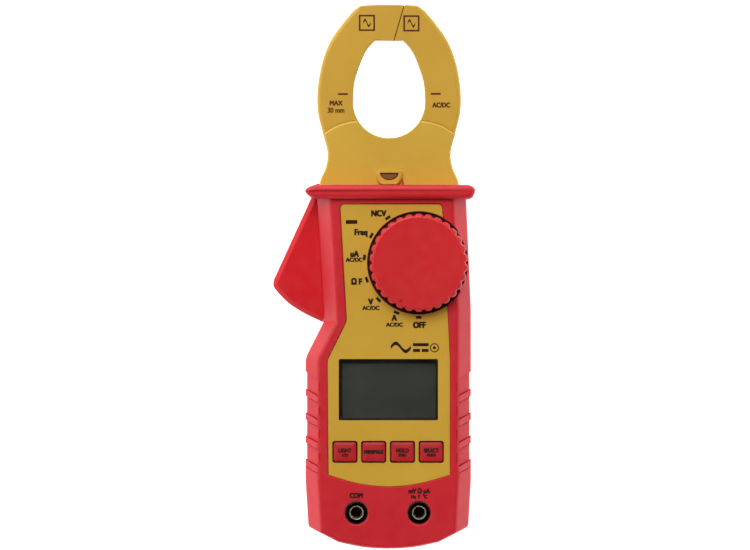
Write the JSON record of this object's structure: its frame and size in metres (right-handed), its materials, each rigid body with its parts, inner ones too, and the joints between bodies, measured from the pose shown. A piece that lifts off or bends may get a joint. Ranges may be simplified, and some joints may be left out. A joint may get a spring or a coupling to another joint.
{
  "type": "clamp meter",
  "caption": "Hand-held clamp meter: hinged jaw with a side trigger, scalloped rotary selector, display window, push keys and shrouded lead sockets, lying on its back.",
  "frame": {"origin": "on the flat back of the case, on its centre line, 76.6 mm above the lower end", "axes": "+Y towards the tip of the jaw, +X to the right as the face is read, +Z out of the face"},
  "size_m": [0.0848, 0.2286, 0.04],
  "materials": {
    "case_red": "satin moulded plastic",
    "trigger_red": "satin moulded plastic",
    "knob_red": "satin moulded plastic",
    "key_red": "satin moulded plastic",
    "jaw_yellow": "satin moulded plastic",
    "panel_yellow": "satin overlay",
    "window_clear": "clear window",
    "lcd_dark": "display glass",
    "diffuser_white": "light guide",
    "zebra_rubber": "elastomer strip",
    "keypad_rubber": "silicone",
    "board_green": "solder mask",
    "black_plastic": "satin",
    "contact_brass": "plated, turned",
    "steel": "zinc plated",
    "rotor_white": "satin",
    "pipe_dark": "tinted clear",
    "lamp_red": "epoxy",
    "torch_tint": "tinted clear",
    "lamp_white": "epoxy",
    "core_iron": "laminated",
    "coil_copper": "enamelled copper wire",
    "cell_jacket": "printed jacket, plain"
  },
  "bodies": {
    "housing": {"front_cover": "case_red", "rear_cover": "case_red", "battery_door": "case_red", "jaw_base_front": "jaw_yellow", "jaw_base_rear": "jaw_yellow", "fixed_jaw_front_shell": "jaw_yellow", "fixed_jaw_rear_shell": "jaw_yellow", "face_panel": "panel_yellow", "lcd_window": "window_clear", "lcd_glass": "lcd_dark", "lcd_backlight": "diffuser_white", "zebra_strip": "zebra_rubber", "keypad_mat": "keypad_rubber", "main_board": "board_green", "socket_sleeve_com": "black_plastic", "socket_sleeve_input": "black_plastic", "measuring_chip": "black_plastic", "buzzer": "black_plastic", "socket_contact_com": "contact_brass", "socket_contact_input": "contact_brass", "battery_door_screw": "steel", "case_screw_1": "steel", "case_screw_2": "steel", "case_screw_3": "steel", "case_screw_4": "steel", "board_screw_1": "steel", "board_screw_2": "steel", "jaw_pivot_pin": "steel", "detent_ring": "steel", "battery_link": "steel", "battery_contact_plus": "steel", "battery_contact_minus": "steel", "indicator_light_pipe": "pipe_dark", "indicator_lamp": "lamp_red", "torch_lens": "torch_tint", "torch_lamp": "lamp_white", "fixed_jaw_core": "core_iron", "fixed_jaw_coil": "coil_copper", "battery_1": "cell_jacket", "battery_2": "cell_jacket"},
    "moving_jaw": {"moving_jaw_front_shell": "jaw_yellow", "moving_jaw_rear_shell": "jaw_yellow", "moving_jaw_core": "core_iron", "moving_jaw_coil": "coil_copper", "trigger": "trigger_red", "jaw_spring": "steel"},
    "selector": {"selector_knob": "knob_red", "selector_rotor": "rotor_white", "selector_wiper": "contact_brass"},
    "key_torch": {"key_torch": "key_red"},
    "key_min_max": {"key_min_max": "key_red"},
    "key_hold": {"key_hold": "key_red"},
    "key_select": {"key_select": "key_red"}
  },
  "joints": [
    {"name": "jaw_hinge", "type": "hinge", "parent": "housing", "child": "moving_jaw", "pos_m": [-0.0125, 0.0805, 0.017], "axis": [0, 0, 1], "range_deg": [0, 25], "stiffness_Nm_per_rad": 1.2, "springref_deg": -20.05, "deforming": ["jaw_spring"]},
    {"name": "selector_turn", "type": "hinge", "parent": "housing", "child": "selector", "pos_m": [0.0127, 0.0433, 0.036], "axis": [0, 0, 1], "range_deg": [-121.6, 24.3]},
    {"name": "key_torch_press", "type": "slide", "parent": "housing", "child": "key_torch", "axis": [0, 0, -1], "range_m": [0, 0.0008], "stiffness_N_per_m": 1500, "springref_m": -0.0002},
    {"name": "key_min_max_press", "type": "slide", "parent": "housing", "child": "key_min_max", "axis": [0, 0, -1], "range_m": [0, 0.0008], "stiffness_N_per_m": 1500, "springref_m": -0.0002},
    {"name": "key_hold_press", "type": "slide", "parent": "housing", "child": "key_hold", "axis": [0, 0, -1], "range_m": [0, 0.0008], "stiffness_N_per_m": 1500, "springref_m": -0.0002},
    {"name": "key_select_press", "type": "slide", "parent": "housing", "child": "key_select", "axis": [0, 0, -1], "range_m": [0, 0.0008], "stiffness_N_per_m": 1500, "springref_m": -0.0002}
  ]
}
